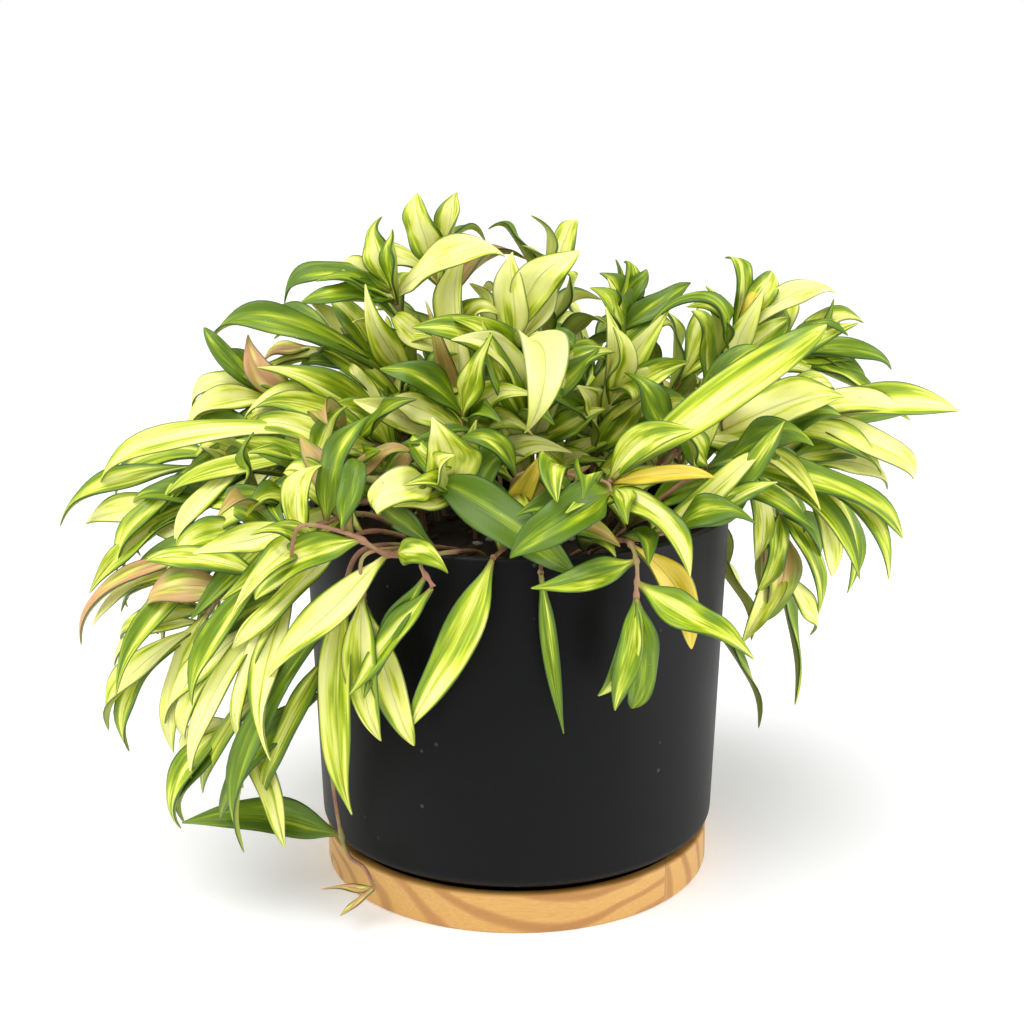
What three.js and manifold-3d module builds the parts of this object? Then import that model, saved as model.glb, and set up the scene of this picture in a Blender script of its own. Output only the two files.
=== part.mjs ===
// Potted variegated hoya: rooted vines with their leaves, potting soil,
// a black glazed pot with a drain hole, and a turned wooden saucer.
// Millimetres, +Z up. The origin is under the middle of the saucer, on the surface that it stands on.
import * as THREE from 'three';
import { mergeVertices } from 'three/addons/utils/BufferGeometryUtils.js';
import Module from 'manifold-3d';

const wasm = await Module();
wasm.setup();

// Clearances between pieces that touch or cross
const GAP = 0.3;
const SIDE_CLEARANCE = 2.5;
const FACE_CLEARANCE = 1;
const WELD = 1e-4;

// Saucer
const SAUCER_RADIUS = 95.5;
const SAUCER_HEIGHT = 19;
const SAUCER_LIP = 6;
const SAUCER_FLOOR = 9;
const SAUCER_EDGE = 1.5;

// Pot
const POT_RIM_RADIUS = 102.5;
const POT_TOP = 178.5;
const POT_WALL = 4.5;
const POT_LOW_RADIUS = 97.5;
const POT_LOW_Z = 28;
const POT_FOOT_RADIUS = 85;
const POT_FOOT_TOP = 21;
const POT_FOOT_RING = 7;
const POT_FOOT_RECESS = 1.5;
const POT_FLOOR = 15.5;
const POT_RIM_ROUND = 1;
const DRAIN_RADIUS = 8;

// How finely the turned pieces are faceted, and the surface that the saucer stands on
const ROUND_SIDES = 48;
const SOIL_SIDES = 24;
const GROUND_SIZE = 600;
const GROUND_DEPTH = 20;

// Soil
const SOIL_EDGE_Z = 162;
const SOIL_MIDDLE_Z = 167;
const ROOT_DEPTH = 14;

// Stems and leaves
const STEM_RADIUS = 1.5;
const STEM_SIDES = 4;
const STEM_STEP = 18;
const STEM_TENSION = 0.5;
const LEAF_THICKNESS = 1.6;
const LEAF_CHANNEL = 0.15;
const PETIOLE_RADIUS = 1;
const LEAF_CORNERS = 3;
const KEEL = 2;
const LEAF_ROWS = [
  { along: -0.02, width: 0 },
  { along: 0.06, width: 0 },
  { along: 0.42, width: 1 },
  { along: 0.74, width: 0.72 },
  { along: 1, width: 0 },
];

// Leaves in pairs: where on the stem they start, and the least and the extra of each measure.
// Spread is the angle to the stem in degrees, and the others are shares of the leaf's length.
const PAIR_START = 0.4;
const SPREAD = { least: 15, extra: 35 };
const REACH = { least: 0.75, extra: 0.45 };
const DROOP = { least: 0.12, extra: 0.3 };
const LIFT = { least: 0.1, extra: 0.3 };
const TIP_REACH = 0.92;
const TURNS = 6;
const TURN_SEED = 13;

// Vines set out by hand. root is the place in the soil, route the points that the stem passes through.
// Each leaf: how far along the stem it starts (0 to 1), its tip x, y, z, its width, and its upward bow.
// pairs, length and width are for the leaves that grow in opposite pairs along the stem.
const VINES = [
  {
    name: 'top_left_back',
    root: [-25, 30],
    route: [[-45, 20, 225], [-55, 15, 265], [-60, 15, 280]],
    pairs: 2,
    length: 60,
    width: 14,
    leaves: [
      [0.97, -115, 5, 280, 15, 0.15],
      [0.9, -100, -5, 280, 16, 0.03],
      [1, -70, 20, 315, 14, 0.03],
      [0.93, -5, -5, 305, 17, 0.15],
      [0.55, -70, -20, 280, 15, 0.02],
    ],
  },
  {
    name: 'top_left',
    root: [-15, 10],
    route: [[-30, 5, 240], [-35, 10, 275], [-40, 15, 290]],
    pairs: 2,
    length: 60,
    width: 14,
    leaves: [
      [1, -50, 10, 325, 20, 0.02],
      [0.95, -15, 30, 310, 8, 0.2],
      [0.45, -30, 0, 300, 20, 0.02],
      [0.4, -40, -30, 275, 12, -0.08],
    ],
  },
  {
    name: 'left_arch',
    root: [-40, 20],
    route: [[-50, 10, 220], [-70, 15, 245], [-95, 25, 250]],
    pairs: 3,
    length: 60,
    width: 14,
    leaves: [
      [0.66, -150, 10, 260, 17, 0.2],
      [0.9, -120, 30, 260, 10, 0.05],
      [1, -125, 20, 250, 10, 0.05],
    ],
  },
  {
    name: 'left_high',
    root: [-45, 0],
    route: [[-55, 0, 210], [-90, 0, 225], [-120, 5, 230]],
    pairs: 2,
    length: 65,
    width: 14,
    leaves: [
      [0.85, -130, 5, 260, 14, 0.02],
      [1, -150, 5, 265, 10, 0.1],
      [0.55, -130, -20, 230, 17, 0.12],
      [0.5, -120, -15, 250, 17, 0.03],
      [1, -160, 0, 230, 13, 0.1],
      [0.97, -160, -10, 220, 16, 0.1],
    ],
  },
  {
    name: 'left_long',
    root: [-45, -10],
    route: [[-55, -20, 205], [-85, -25, 215], [-120, -20, 210], [-150, -15, 200]],
    pairs: 4,
    length: 75,
    width: 14,
    leaves: [
      [0.5, -205, -20, 195, 14, 0.15],
      [0.45, -170, -35, 190, 13, 0.15],
      [1, -225, -15, 175, 12, 0.06],
      [0.75, -160, -50, 170, 13, 0.15],
      [0.3, -105, -40, 220, 12, 0.08],
    ],
  },
  {
    name: 'left_mid',
    root: [-50, -20],
    route: [[-60, -35, 200], [-95, -40, 200], [-130, -35, 190], [-155, -30, 180]],
    pairs: 4,
    length: 75,
    width: 14,
    leaves: [
      [1, -185, -25, 160, 9, 0.15],
      [0.45, -145, -55, 175, 14, 0.18],
      [0.95, -180, -30, 175, 13, 0.03],
      [0.85, -190, -35, 155, 10, 0.1],
    ],
  },
  {
    name: 'left_low',
    root: [-50, -30],
    route: [[-60, -50, 190], [-90, -60, 190], [-120, -60, 175], [-145, -50, 165]],
    pairs: 4,
    length: 75,
    width: 14,
    leaves: [
      [1, -210, -40, 120, 9, 0.2],
      [0.75, -160, -60, 165, 16, 0.05],
      [1, -190, -40, 140, 9, 0.1],
    ],
  },
  {
    name: 'left_fall_front',
    root: [-45, -40],
    route: [[-65, -70, 190], [-85, -90, 190], [-105, -90, 170], [-130, -80, 155], [-145, -70, 135]],
    pairs: 3,
    length: 70,
    width: 13,
    leaves: [
      [0.8, -170, -75, 150, 18, 0.05],
      [0.97, -195, -60, 85, 12, 0.12],
      [1, -185, -65, 75, 12, 0.12],
      [0.95, -190, -55, 115, 10, 0.1],
      [0.9, -190, -50, 125, 10, 0.1],
      [0.4, -125, -105, 165, 15, -0.12],
    ],
  },
  {
    name: 'left_fall_back',
    root: [-40, -45],
    route: [[-65, -80, 185], [-90, -90, 170], [-110, -90, 140], [-125, -80, 100], [-125, -80, 65]],
    pairs: 2,
    length: 55,
    width: 13,
    leaves: [
      [0.6, -165, -70, 90, 13, 0.1],
      [0.65, -155, -80, 85, 12, 0.1],
      [0.6, -150, -90, 70, 13, 0.12],
      [0.85, -160, -80, 40, 12, 0.15],
      [0.85, -160, -75, 45, 12, 0.12],
      [0.55, -125, -105, 95, 9, 0.1],
      [0.4, -125, -105, 140, 13, 0.05],
    ],
  },
  {
    name: 'left_trail',
    root: [-35, -50],
    route: [
      [-65, -90, 180], [-75, -100, 160], [-85, -90, 115], [-85, -70, 65],
      [-80, -70, 30], [-70, -80, 25], [-65, -90, 20],
    ],
    pairs: 0,
    length: 55,
    width: 13,
    leaves: [
      [0.72, -155, -70, 45, 19, -0.05],
      [0.35, -75, -105, 60, 17, 0.03],
      [0.4, -130, -100, 40, 11, 0.12],
      [0.45, -120, -85, 55, 12, 0.1],
      [0.4, -150, -75, 60, 14, 0.1],
      [0.5, -140, -75, 45, 15, 0.1],
    ],
  },
  {
    name: 'knobbly_vine',
    root: [-25, -50],
    route: [[-40, -90, 180], [-55, -100, 180], [-70, -105, 190], [-90, -110, 195], [-95, -110, 180]],
    pairs: 0,
    length: 60,
    width: 13,
    leaves: [
      [0.45, -30, -115, 180, 14, 0.1],
      [0.5, -110, -115, 130, 16, 0.06],
      [0.62, -115, -110, 165, 18, 0.05],
    ],
  },
  {
    name: 'front_left',
    root: [-15, -55],
    route: [[-25, -95, 180], [-40, -110, 180], [-35, -115, 170]],
    pairs: 0,
    length: 60,
    width: 13,
    leaves: [
      [1, -70, -120, 125, 12, -0.12],
      [0.9, -65, -120, 125, 11, -0.15],
    ],
  },
  {
    name: 'front_left_hanging',
    root: [-30, -45],
    route: [[-50, -90, 180], [-65, -105, 180], [-65, -105, 160]],
    pairs: 0,
    length: 60,
    width: 13,
    leaves: [
      [0.95, -60, -110, 95, 16, 0.03],
      [1, -45, -110, 95, 15, -0.02],
    ],
  },
  {
    name: 'front_middle',
    root: [-10, -60],
    route: [[-5, -90, 180], [-10, -105, 180]],
    pairs: 0,
    length: 60,
    width: 13,
    leaves: [
      [1, -50, -115, 105, 18, 0.04],
    ],
  },
  {
    name: 'front_centre',
    root: [8, -55],
    route: [[10, -100, 175], [10, -110, 175]],
    pairs: 0,
    length: 60,
    width: 13,
    leaves: [
      [1, 20, -115, 105, 8, -0.1],
    ],
  },
  {
    name: 'front_right',
    root: [25, -55],
    route: [[45, -95, 185], [50, -110, 180], [50, -115, 165]],
    pairs: 0,
    length: 60,
    width: 13,
    leaves: [
      [0.75, 10, -130, 175, 14, -0.18],
      [1, 35, -115, 120, 11, 0],
      [0.97, 40, -120, 115, 12, 0.03],
      [1, 50, -110, 110, 15, 0.04],
      [0.9, 100, -120, 145, 17, -0.1],
      [0.6, 75, -110, 140, 15, 0.02],
    ],
  },
  {
    name: 'centre_front',
    root: [-5, -35],
    route: [[-25, -70, 195], [-40, -80, 210]],
    pairs: 1,
    length: 55,
    width: 14,
    leaves: [
      [1, 25, -115, 175, 22, 0.05],
      [0.8, -35, -90, 235, 25, 0.02],
      [0.9, -65, -105, 200, 20, 0.3],
    ],
  },
  {
    name: 'centre',
    root: [5, -30],
    route: [[0, -60, 205], [35, -90, 210], [40, -95, 205]],
    pairs: 0,
    length: 55,
    width: 14,
    leaves: [
      [0.95, -5, -120, 185, 22, 0.12],
      [0.45, 10, -110, 185, 11, -0.05],
      [0.3, 10, -80, 215, 12, 0.1],
    ],
  },
  {
    name: 'centre_right',
    root: [20, -35],
    route: [[30, -75, 195], [40, -85, 205], [40, -90, 210]],
    pairs: 1,
    length: 60,
    width: 14,
    leaves: [
      [1, 145, -45, 275, 19, 0.13],
      [0.9, 85, -100, 215, 9, 0.1],
      [0.8, 45, -110, 200, 12, -0.1],
    ],
  },
  {
    name: 'right_low',
    root: [35, -45],
    route: [[55, -90, 185], [75, -90, 190], [80, -90, 195]],
    pairs: 0,
    length: 60,
    width: 14,
    leaves: [
      [0.5, 105, -85, 225, 12, 0],
      [1, 115, -80, 235, 11, 0],
    ],
  },
  {
    name: 'right_front',
    root: [45, -20],
    route: [[75, -45, 215], [100, -40, 220], [125, -30, 225]],
    pairs: 2,
    length: 75,
    width: 14,
    leaves: [
      [0.85, 210, -20, 230, 17, 0.04],
      [0.8, 185, -30, 230, 15, 0.06],
      [0.6, 145, -50, 245, 24, 0.02],
      [1, 195, -20, 195, 18, 0.12],
      [1, 190, 0, 225, 8, -0.1],
    ],
  },
  {
    name: 'right_side',
    root: [45, -30],
    route: [[80, -55, 205], [105, -50, 210], [130, -40, 205]],
    pairs: 3,
    length: 70,
    width: 14,
    leaves: [
      [0.6, 180, -50, 175, 17, 0.1],
      [1, 180, -20, 190, 13, 0.1],
      [1, 150, -40, 150, 14, 0.15],
      [0.97, 160, -30, 140, 12, 0.18],
    ],
  },
  {
    name: 'right_hanging',
    root: [50, -10],
    route: [[95, -25, 200], [120, -10, 190], [130, -10, 160], [130, -10, 135]],
    pairs: 3,
    length: 50,
    width: 13,
    leaves: [
      [0.5, 115, -25, 155, 14, 0.05],
      [0.75, 115, -20, 120, 17, 0.05],
      [0.7, 150, -5, 150, 13, 0.1],
      [1, 130, -10, 130, 5, 0],
    ],
  },
  {
    name: 'right_top',
    root: [40, 10],
    route: [[85, 0, 230], [100, 10, 250], [110, 15, 265]],
    pairs: 2,
    length: 65,
    width: 13,
    leaves: [
      [0.75, 55, -20, 270, 9, 0.5],
      [0.9, 115, 15, 280, 11, 0.25],
      [1, 125, 20, 290, 14, 0.02],
      [1, 130, 25, 280, 12, 0.03],
      [0.6, 105, -30, 230, 14, 0.2],
      [0.45, 160, -10, 270, 13, 0.05],
      [0.4, 80, -60, 210, 18, 0.25],
    ],
  },
  {
    name: 'right_mid',
    root: [45, 10],
    route: [[100, 5, 230], [120, 10, 245], [140, 15, 250]],
    pairs: 3,
    length: 65,
    width: 13,
    leaves: [
      [0.8, 185, 10, 245, 12, 0.12],
      [0.9, 175, 15, 235, 12, 0.15],
      [0.85, 160, 20, 265, 12, 0.1],
      [0.9, 150, 30, 265, 7, 0.08],
      [1, 155, 20, 275, 5, -0.1],
    ],
  },
  {
    name: 'top_middle',
    root: [0, 5],
    route: [[5, -10, 230], [0, -5, 250], [0, 0, 260]],
    pairs: 2,
    length: 60,
    width: 14,
    leaves: [
      [0.9, -5, 0, 300, 20, 0.03],
      [1, 30, -5, 300, 20, 0.04],
      [0.8, 30, -40, 260, 14, 0.35],
      [0.85, 5, -80, 225, 22, 0.4],
      [0.7, -45, -35, 270, 18, 0.08],
    ],
  },
  {
    name: 'top_back',
    root: [10, 25],
    route: [[15, 25, 240], [15, 30, 280]],
    pairs: 3,
    length: 60,
    width: 13,
    leaves: [
      [0.95, -10, 25, 315, 12, 0.15],
      [1, 15, 35, 315, 14, 0.02],
      [0.8, 25, 10, 290, 11, 0.25],
    ],
  },
  {
    name: 'top_right',
    root: [20, 15],
    route: [[40, 10, 235], [50, 15, 265]],
    pairs: 3,
    length: 60,
    width: 13,
    leaves: [
      [1, 45, 15, 290, 20, 0.03],
      [1, 50, 20, 295, 5, 0],
      [0.9, 40, -5, 285, 13, 0.12],
      [0.35, 70, -30, 275, 22, 0.08],
      [1, 65, 20, 290, 10, 0.05],
      [0.6, 55, -40, 235, 14, 0.3],
    ],
  },
];

// Vines that trail over the back of the pot: compass bearing from the right-hand side,
// how far out they reach, and how low they hang
const BACK_ROOT = 50;
const BACK_TOP = 205;
const BACK_VINES = [
  { name: 'back_vine_1', bearing: 22, reach: 135, low: 135 },
  { name: 'back_vine_2', bearing: 42, reach: 120, low: 85 },
  { name: 'back_vine_3', bearing: 61, reach: 135, low: 125 },
  { name: 'back_vine_4', bearing: 80, reach: 120, low: 75 },
  { name: 'back_vine_5', bearing: 99, reach: 135, low: 115 },
  { name: 'back_vine_6', bearing: 118, reach: 120, low: 80 },
  { name: 'back_vine_7', bearing: 138, reach: 135, low: 110 },
  { name: 'back_vine_8', bearing: 160, reach: 130, low: 90 },
];

// Plain upright vines that fill the middle: their root in the soil, and the top of their stem
const MIDDLE_VINES = [
  { name: 'middle_vine_1', root: [-55, 45], top: [-75, 60, 240] },
  { name: 'middle_vine_2', root: [-30, 60], top: [-40, 80, 245] },
  { name: 'middle_vine_3', root: [0, 55], top: [0, 75, 250] },
  { name: 'middle_vine_4', root: [28, 62], top: [40, 84, 243] },
  { name: 'middle_vine_5', root: [60, 35], top: [85, 50, 235] },
  { name: 'middle_vine_6', root: [-20, -15], top: [-25, -30, 230] },
  { name: 'middle_vine_7', root: [5, -15], top: [5, -25, 235] },
  { name: 'middle_vine_8', root: [30, -10], top: [45, -20, 235] },
];

const vector = (x, y, z) => new THREE.Vector3(x, y, z);
const UP = vector(0, 0, 1);

// A repeatable number from 0 to 1 for each vine and leaf
const chance = (vine, leaf) => {
  const wave = Math.sin(vine * 12.9898 + leaf * 78.233) * 43758.5453;
  return wave - Math.floor(wave);
};

// A closed geometry as a solid that can be joined and cut
const toSolid = (geometry) => {
  const bare = geometry.clone();
  bare.deleteAttribute('normal');
  bare.deleteAttribute('uv');
  const merged = mergeVertices(bare, WELD);
  return new wasm.Manifold(new wasm.Mesh({
    numProp: 3,
    vertProperties: Float32Array.from(merged.attributes.position.array),
    triVerts: Uint32Array.from(merged.index.array),
  }));
};

const toGeometry = (solid) => {
  const mesh = solid.getMesh();
  const geometry = new THREE.BufferGeometry();
  geometry.setAttribute('position', new THREE.BufferAttribute(mesh.vertProperties, 3));
  geometry.setIndex(new THREE.BufferAttribute(mesh.triVerts, 1));
  geometry.computeVertexNormals();
  return geometry;
};

const hoya = new THREE.Group();

const addPiece = (name, geometry, color, roughness) => {
  const material = new THREE.MeshStandardMaterial({ color, roughness, metalness: 0 });
  const mesh = new THREE.Mesh(geometry, material);
  mesh.name = name;
  hoya.add(mesh);
};

// A turned piece: the outline runs from the bottom outside upwards, then back inside
const turned = (outline, points, sides = ROUND_SIDES) => {
  const lathe = new THREE.LatheGeometry(outline.getPoints(points), sides);
  lathe.rotateX(Math.PI / 2);
  return lathe;
};

// Saucer: one turned disc with a shallow recess for the pot's foot
const saucerOutline = new THREE.Path();
saucerOutline.moveTo(0, 0);
saucerOutline.lineTo(SAUCER_RADIUS - 2 * SAUCER_EDGE, 0);
saucerOutline.quadraticCurveTo(SAUCER_RADIUS, 0, SAUCER_RADIUS, 2 * SAUCER_EDGE);
saucerOutline.lineTo(SAUCER_RADIUS, SAUCER_HEIGHT - SAUCER_EDGE);
saucerOutline.quadraticCurveTo(SAUCER_RADIUS, SAUCER_HEIGHT, SAUCER_RADIUS - SAUCER_EDGE, SAUCER_HEIGHT);
saucerOutline.lineTo(SAUCER_RADIUS - SAUCER_LIP, SAUCER_HEIGHT);
saucerOutline.lineTo(SAUCER_RADIUS - SAUCER_LIP, SAUCER_FLOOR);
saucerOutline.lineTo(0, SAUCER_FLOOR);
const saucer = turned(saucerOutline, 2);

// Pot: a tapered wall over a narrow foot, with a drain hole in its floor.
// grow makes the same pot that much bigger all round, to keep leaves clear of it.
const potGeometry = (grow) => {
  const stand = SAUCER_FLOOR + GAP - grow;
  const ring = POT_FOOT_RADIUS - POT_FOOT_RING;
  const outline = new THREE.Path();
  const low = POT_LOW_RADIUS - POT_WALL - grow;
  const foot = POT_FOOT_RADIUS - POT_WALL - grow;
  outline.moveTo(POT_FOOT_RADIUS + grow, stand);
  outline.lineTo(POT_FOOT_RADIUS + grow, POT_FOOT_TOP - grow);
  outline.quadraticCurveTo(POT_LOW_RADIUS + grow, POT_FOOT_TOP - grow, POT_LOW_RADIUS + grow, POT_LOW_Z);
  outline.lineTo(POT_RIM_RADIUS + grow, POT_TOP - POT_RIM_ROUND + grow);
  outline.lineTo(POT_RIM_RADIUS - POT_RIM_ROUND, POT_TOP + grow);
  outline.lineTo(POT_RIM_RADIUS - POT_WALL + POT_RIM_ROUND, POT_TOP + grow);
  outline.lineTo(POT_RIM_RADIUS - POT_WALL - grow, POT_TOP - POT_RIM_ROUND + grow);
  outline.lineTo(low, POT_LOW_Z + POT_WALL + 2);
  outline.quadraticCurveTo(low, POT_FOOT_TOP + POT_WALL, foot, POT_FOOT_TOP + POT_WALL - 1);
  outline.lineTo(foot, POT_FLOOR + grow);
  outline.lineTo(DRAIN_RADIUS - grow, POT_FLOOR + grow);
  outline.lineTo(DRAIN_RADIUS - grow, stand + POT_FOOT_RECESS);
  outline.lineTo(ring, stand + POT_FOOT_RECESS);
  outline.lineTo(ring, stand);
  outline.closePath();
  return turned(outline, 2);
};

// Soil: fills the pot to just under the rim, a little higher in the middle
const wallRadiusAt = (z) => {
  const share = (z - POT_LOW_Z) / (POT_TOP - POT_LOW_Z);
  return POT_LOW_RADIUS + share * (POT_RIM_RADIUS - POT_LOW_RADIUS) - POT_WALL;
};
const soilOutline = new THREE.Path();
soilOutline.moveTo(0, POT_FLOOR + GAP);
soilOutline.lineTo(POT_FOOT_RADIUS - POT_WALL - GAP, POT_FLOOR + GAP);
soilOutline.lineTo(POT_FOOT_RADIUS - POT_WALL - GAP, POT_FOOT_TOP + POT_WALL);
soilOutline.lineTo(POT_LOW_RADIUS - POT_WALL - 2 * GAP, POT_LOW_Z + POT_WALL + 3);
soilOutline.lineTo(wallRadiusAt(SOIL_EDGE_Z) - 2 * GAP, SOIL_EDGE_Z);
soilOutline.lineTo(POT_RIM_RADIUS * 0.5, (SOIL_EDGE_Z + SOIL_MIDDLE_Z) / 2);
soilOutline.lineTo(0, SOIL_MIDDLE_Z);

// The way a leaf's upper face looks: up, away from the pot and, on the near side, forward
const facingAt = (point) => {
  const outward = vector(point.x, point.y, 0).normalize();
  const forward = THREE.MathUtils.clamp(0.6 - point.y * 0.01, 0, 0.6);
  return vector(0, 0, 0.6).addScaledVector(outward, 0.35).add(vector(0, -forward, 0)).normalize();
};

// A vine's stem runs from its root in the soil through its route points
const stemCurve = (vine) => {
  const [x, y] = vine.root;
  const points = [vector(x, y, SOIL_MIDDLE_Z - ROOT_DEPTH), vector(x, y, SOIL_MIDDLE_Z)];
  vine.route.forEach((point) => points.push(vector(...point)));
  return new THREE.CatmullRomCurve3(points, false, 'catmullrom', STEM_TENSION);
};

const stemSolid = (curve, radius) => {
  const section = new THREE.Shape();
  for (let side = 0; side < STEM_SIDES; side += 1) {
    const angle = (side / STEM_SIDES) * 2 * Math.PI;
    const move = side === 0 ? 'moveTo' : 'lineTo';
    section[move](radius * Math.cos(angle), radius * Math.sin(angle));
  }
  const steps = Math.max(4, Math.round(curve.getLength() / STEM_STEP));
  return toSolid(new THREE.ExtrudeGeometry(section, { steps, bevelEnabled: false, extrudePath: curve }));
};

// A leaf set out by hand: where on the stem it starts, its tip, its width, and how much it bows upwards
const setLeaf = (curve, [at, x, y, z, width, arch]) => {
  const base = curve.getPoint(at);
  const tip = vector(x, y, z);
  const facing = facingAt(tip);
  const bow = facing.clone().multiplyScalar(2 * arch * base.distanceTo(tip));
  const middle = base.clone().lerp(tip, 0.5).add(bow);
  return { spine: new THREE.QuadraticBezierCurve3(base, middle, tip), width, facing };
};

// The other leaves grow in opposite pairs, spread to both sides of the stem, and droop towards their tips.
// turn picks another spread, length and droop for the same leaf.
const pairLeaf = (plant, pair, side, turn) => {
  const { vine, curve, number } = plant;
  const at = PAIR_START + ((1 - PAIR_START) * (pair + 0.5)) / vine.pairs;
  const seed = pair * 2 + side + turn * TURN_SEED;
  const pick = ({ least, extra }, draw) => least + extra * chance(number, seed + draw);
  const base = curve.getPoint(at);
  const ahead = curve.getTangent(at);
  const facing = facingAt(base);
  const across = ahead.clone().cross(facing).normalize();
  const spread = THREE.MathUtils.degToRad(pick(SPREAD, 0));
  const length = vine.length * pick(REACH, 50);
  const droop = pick(DROOP, 100);
  const lift = pick(LIFT, 150);
  const start = ahead.clone().multiplyScalar(Math.cos(spread));
  start.addScaledVector(across, side * Math.sin(spread)).addScaledVector(facing, lift).normalize();
  const middle = base.clone().addScaledVector(start, 0.5 * length);
  const tip = base.clone().addScaledVector(start, TIP_REACH * length).addScaledVector(UP, -droop * length);
  return { spine: new THREE.QuadraticBezierCurve3(base, middle, tip), width: vine.width, facing };
};

// A leaf's body: a three-cornered section, two raised edges and a keel, drawn out along its spine.
// side and face make it that much wider and thicker, to keep its neighbours clear of it.
const leafSolid = (leaf, side, face) => {
  const body = new THREE.SphereGeometry(1, LEAF_CORNERS, LEAF_ROWS.length - 1);
  const place = body.attributes.position;
  const length = leaf.spine.getLength();
  for (let i = 0; i < place.count; i += 1) {
    const row = Math.floor(i / (LEAF_CORNERS + 1));
    const corner = (i % (LEAF_CORNERS + 1)) % LEAF_CORNERS;
    const { along, width } = LEAF_ROWS[row];
    const inside = THREE.MathUtils.clamp(along, 0, 1);
    const tangent = leaf.spine.getTangent(inside);
    const across = tangent.clone().cross(leaf.facing).normalize();
    const normal = across.clone().cross(tangent);
    const past = (along - inside) * length + side * (Number(along === 1) - Number(along < 0));
    const point = leaf.spine.getPoint(inside).addScaledVector(tangent, past);
    if (along > 0 && along < 1) {
      const half = Math.max((width * leaf.width) / 2, PETIOLE_RADIUS) + side;
      if (corner === KEEL) {
        point.addScaledVector(normal, -LEAF_THICKNESS - 2 * face);
      } else {
        point.addScaledVector(across, corner === 0 ? half : -half);
        point.addScaledVector(normal, width * LEAF_CHANNEL * half + face);
      }
    }
    place.setXYZ(i, point.x, point.y, point.z);
  }
  return toSolid(body);
};

const boxesMeet = (one, two) => {
  const a = one.boundingBox();
  const b = two.boundingBox();
  return [0, 1, 2].every((axis) => a.min[axis] <= b.max[axis] && b.min[axis] <= a.max[axis]);
};

const cutBy = (solid, guards) => guards
  .filter((guard) => boxesMeet(solid, guard))
  .reduce((rest, guard) => rest.subtract(guard), solid);

const isClear = (solid, guards) => guards
  .every((guard) => !boxesMeet(solid, guard) || solid.intersect(guard).isEmpty());

// The back vines' routes: out of the soil, over the rim and down
const backVine = ({ name, bearing, reach, low }) => {
  const angle = THREE.MathUtils.degToRad(bearing);
  const out = (distance, height) => [distance * Math.cos(angle), distance * Math.sin(angle), height];
  const fall = (BACK_TOP + low) / 2 + 15;
  return {
    name,
    root: out(BACK_ROOT, 0).slice(0, 2),
    route: [
      out(75, BACK_TOP - 5), out(POT_RIM_RADIUS + 5.5, BACK_TOP),
      out(reach, fall), out(reach + 5, low),
    ],
    pairs: 6,
    length: 65,
    width: 14,
    leaves: [],
  };
};

// The middle vines' routes: straight up out of the soil, then leaning out
const middleVine = ({ name, root, top: [x, y, height] }) => ({
  name,
  root,
  route: [[(root[0] + x) / 2, (root[1] + y) / 2, (SOIL_MIDDLE_Z + height) / 2 + 8], [x, y, height]],
  pairs: 4,
  length: 70,
  width: 15,
  leaves: [],
});

// Every vine's stem is grown first, then the leaves set out by hand, then the pairs
const vines = [...VINES, ...BACK_VINES.map(backVine), ...MIDDLE_VINES.map(middleVine)];
const plants = vines.map((vine, number) => ({ vine, number, curve: stemCurve(vine), guards: [] }));
const ground = new THREE.BoxGeometry(GROUND_SIZE, GROUND_SIZE, GROUND_DEPTH)
  .translate(0, 0, GAP - GROUND_DEPTH / 2);
const surroundings = [toSolid(potGeometry(GAP)), toSolid(saucer), toSolid(ground)];

plants.forEach((plant) => {
  const others = plants.filter((other) => other !== plant).flatMap((other) => other.guards);
  plant.body = cutBy(stemSolid(plant.curve, STEM_RADIUS), [...others, ...surroundings]);
  plant.guards.push(stemSolid(plant.curve, STEM_RADIUS + 2 * GAP));
});

const soil = cutBy(toSolid(turned(soilOutline, 1, SOIL_SIDES)), plants.flatMap((plant) => plant.guards));
const soilGuard = toSolid(turned(soilOutline, 1, SOIL_SIDES).translate(0, 0, GAP));

const neighbours = (plant) => {
  const others = plants.filter((other) => other !== plant).flatMap((other) => other.guards);
  return [...others, ...surroundings, soilGuard];
};

const attach = (plant, leaf, blade) => {
  plant.body = plant.body.add(blade);
  plant.guards.push(leafSolid(leaf, SIDE_CLEARANCE, FACE_CLEARANCE));
};

// A leaf set out by hand is cut back where it would come too close to another vine
plants.forEach((plant) => {
  const guards = neighbours(plant);
  plant.vine.leaves.forEach((row) => {
    const leaf = setLeaf(plant.curve, row);
    attach(plant, leaf, cutBy(leafSolid(leaf, 0, 0), guards));
  });
});

// A leaf of a pair turns until it is clear of the other vines, and is left out if it can't be
plants.forEach((plant) => {
  const guards = neighbours(plant);
  for (let pair = 0; pair < plant.vine.pairs; pair += 1) {
    [-1, 1].forEach((side) => {
      for (let turn = 0; turn < TURNS; turn += 1) {
        const leaf = pairLeaf(plant, pair, side, turn);
        const blade = leafSolid(leaf, 0, 0);
        if (isClear(blade, guards)) {
          attach(plant, leaf, blade);
          break;
        }
      }
    });
  }
});

addPiece('saucer', saucer, 0xd9a865, 0.5);
addPiece('pot', potGeometry(0), 0x1c1d1f, 0.55);
addPiece('soil', toGeometry(soil), 0x2a2019, 0.95);
plants.forEach((plant) => {
  const bodies = plant.body.decompose().sort((one, two) => two.volume() - one.volume());
  addPiece(plant.vine.name, toGeometry(bodies[0]), 0xa8c24e, 0.4);
});

export default hoya;
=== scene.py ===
import math

import bmesh
import bpy
from mathutils import Matrix, Vector, kdtree, noise


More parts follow.
